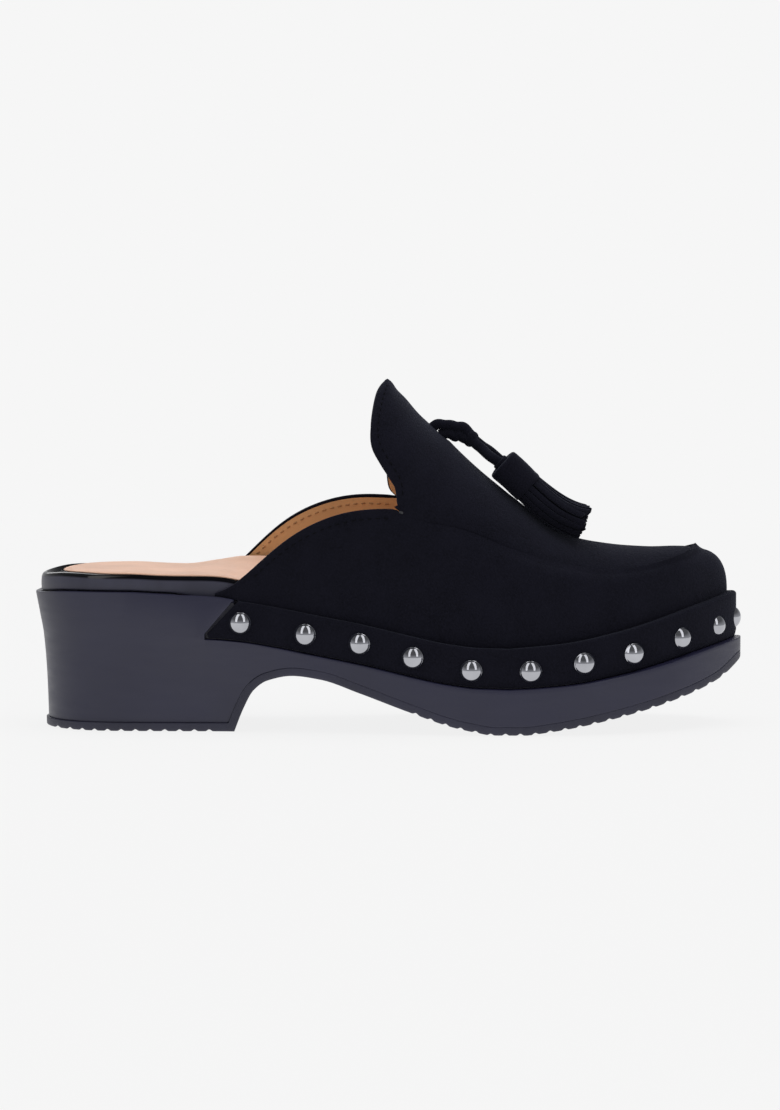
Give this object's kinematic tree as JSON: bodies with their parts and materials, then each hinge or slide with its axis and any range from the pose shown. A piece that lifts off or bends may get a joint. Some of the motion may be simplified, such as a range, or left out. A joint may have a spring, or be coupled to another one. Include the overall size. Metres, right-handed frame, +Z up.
{
  "type": "tassel clog loafer",
  "caption": "Backless block-heeled clog loafer with a studded suede vamp, tall tongue, knotted thong with tassels and a ribbed moulded platform.",
  "frame": {"origin": "on the ground under the middle of the shoe's box, the thong and tassels left out", "axes": "+X towards the toe, -Y towards the outer side of this right shoe, +Z up"},
  "size_m": [0.2552, 0.0921, 0.1247],
  "materials": {
    "sole_rubber": "matt ribbed rubber, charcoal",
    "platform_black": "satin moulded polyurethane, charcoal",
    "glossy_rim": "glossy black wrapped edge",
    "tan_leather": "smooth pinkish tan leather",
    "black_suede": "black suede with a short nap",
    "nickel": "polished nickel"
  },
  "bodies": {
    "root": {"outsole": "sole_rubber", "platform": "platform_black", "footbed": "glossy_rim", "insole": "tan_leather", "vamp": "black_suede", "tongue": "black_suede", "stud_01": "nickel", "stud_02": "nickel", "stud_03": "nickel", "stud_04": "nickel", "stud_05": "nickel", "stud_06": "nickel", "stud_07": "nickel", "stud_08": "nickel", "stud_09": "nickel", "stud_10": "nickel", "stud_11": "nickel", "stud_12": "nickel", "stud_13": "nickel", "stud_14": "nickel", "stud_15": "nickel", "stud_16": "nickel", "stud_17": "nickel", "stud_18": "nickel", "stud_19": "nickel", "stud_20": "nickel", "stud_21": "nickel", "thong_loop": "black_suede", "thong_root": "black_suede", "thong_knot": "black_suede", "thong_tail_outer": "black_suede", "thong_tail_inner": "black_suede", "tassel_cap_outer": "black_suede", "tassel_fringe_outer": "black_suede", "tassel_cap_inner": "black_suede", "tassel_fringe_inner": "black_suede"}
  },
  "joints": []
}
